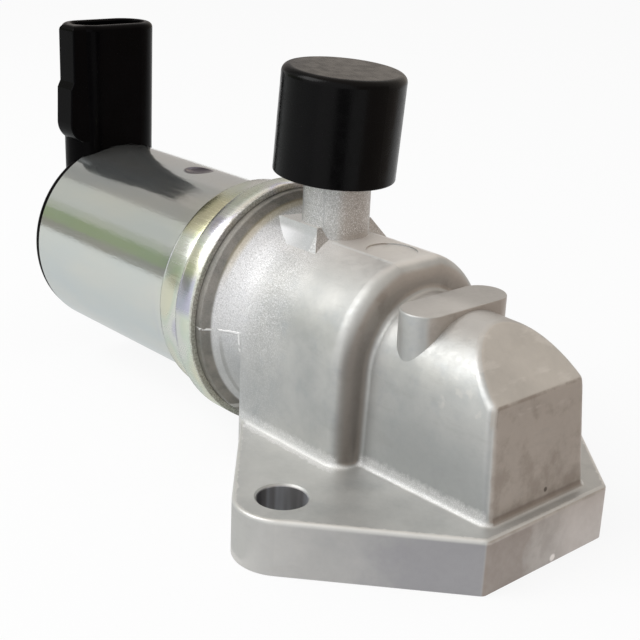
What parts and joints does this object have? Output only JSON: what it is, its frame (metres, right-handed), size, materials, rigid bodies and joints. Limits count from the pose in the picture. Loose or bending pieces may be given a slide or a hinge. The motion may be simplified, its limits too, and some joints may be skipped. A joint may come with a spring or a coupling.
{
  "type": "idle air control valve",
  "caption": "Idle air control valve: a cast flanged body carries a plated solenoid can with an upright plug tower and a capped breather nipple; a sprung shaft with discs opens the air way.",
  "frame": {"origin": "middle of the bolting face, halfway between the two bolt holes", "axes": "+X along the solenoid axis from the plug end to the nose, +Y along the line of the bolt holes, +Z out of the flange towards the breather nipple"},
  "size_m": [0.1139, 0.067, 0.0631],
  "materials": {
    "cast_aluminium": "as cast, fine sandy grain",
    "zinc_plated_steel": "bright zinc with a thin pale yellow passivation",
    "black_nylon": "semi-gloss black moulding",
    "black_cap_plastic": "satin black moulding",
    "filter_foam": "open-cell foam",
    "bobbin_plastic": "natural glass-filled moulding",
    "copper_wire": "enamelled winding",
    "magnet_steel": "machined mild steel, thin plating",
    "stainless_steel": "ground stainless steel",
    "turned_aluminium": "turned",
    "spring_steel": "drawn spring wire and stamped clip",
    "seat_brass": "turned brass",
    "bearing_bronze": "sintered bronze",
    "seal_rubber": "moulded ring",
    "tinned_brass": "tin-plated strip",
    "diode_resin": "moulded resin body with tinned leads"
  },
  "bodies": {
    "valve_body": {"housing": "cast_aluminium", "solenoid_can": "zinc_plated_steel", "connector_body": "black_nylon", "filter_cap": "black_cap_plastic", "filter_element": "filter_foam", "coil_bobbin": "bobbin_plastic", "coil_winding": "copper_wire", "front_pole_plate": "magnet_steel", "rear_pole_plate": "magnet_steel", "fixed_core": "magnet_steel", "plunger_sleeve": "stainless_steel", "rear_seat_ring": "seat_brass", "rear_bush": "bearing_bronze", "front_bush": "bearing_bronze", "return_spring": "spring_steel", "balance_spring": "spring_steel", "adjusting_screw": "magnet_steel", "housing_seal": "seal_rubber", "connector_seal": "seal_rubber", "left_terminal": "tinned_brass", "right_terminal": "tinned_brass", "clamp_diode": "diode_resin"},
    "valve_group": {"plunger": "magnet_steel", "valve_shaft": "stainless_steel", "rear_valve_disc": "turned_aluminium", "front_valve_disc": "turned_aluminium", "rear_disc_clip": "spring_steel", "front_disc_clip": "spring_steel"}
  },
  "joints": [
    {"name": "valve_slide", "type": "slide", "parent": "valve_body", "child": "valve_group", "axis": [-1, 0, 0], "range_m": [0, 0.004], "stiffness_N_per_m": 300, "deforming": ["return_spring", "balance_spring"]}
  ]
}
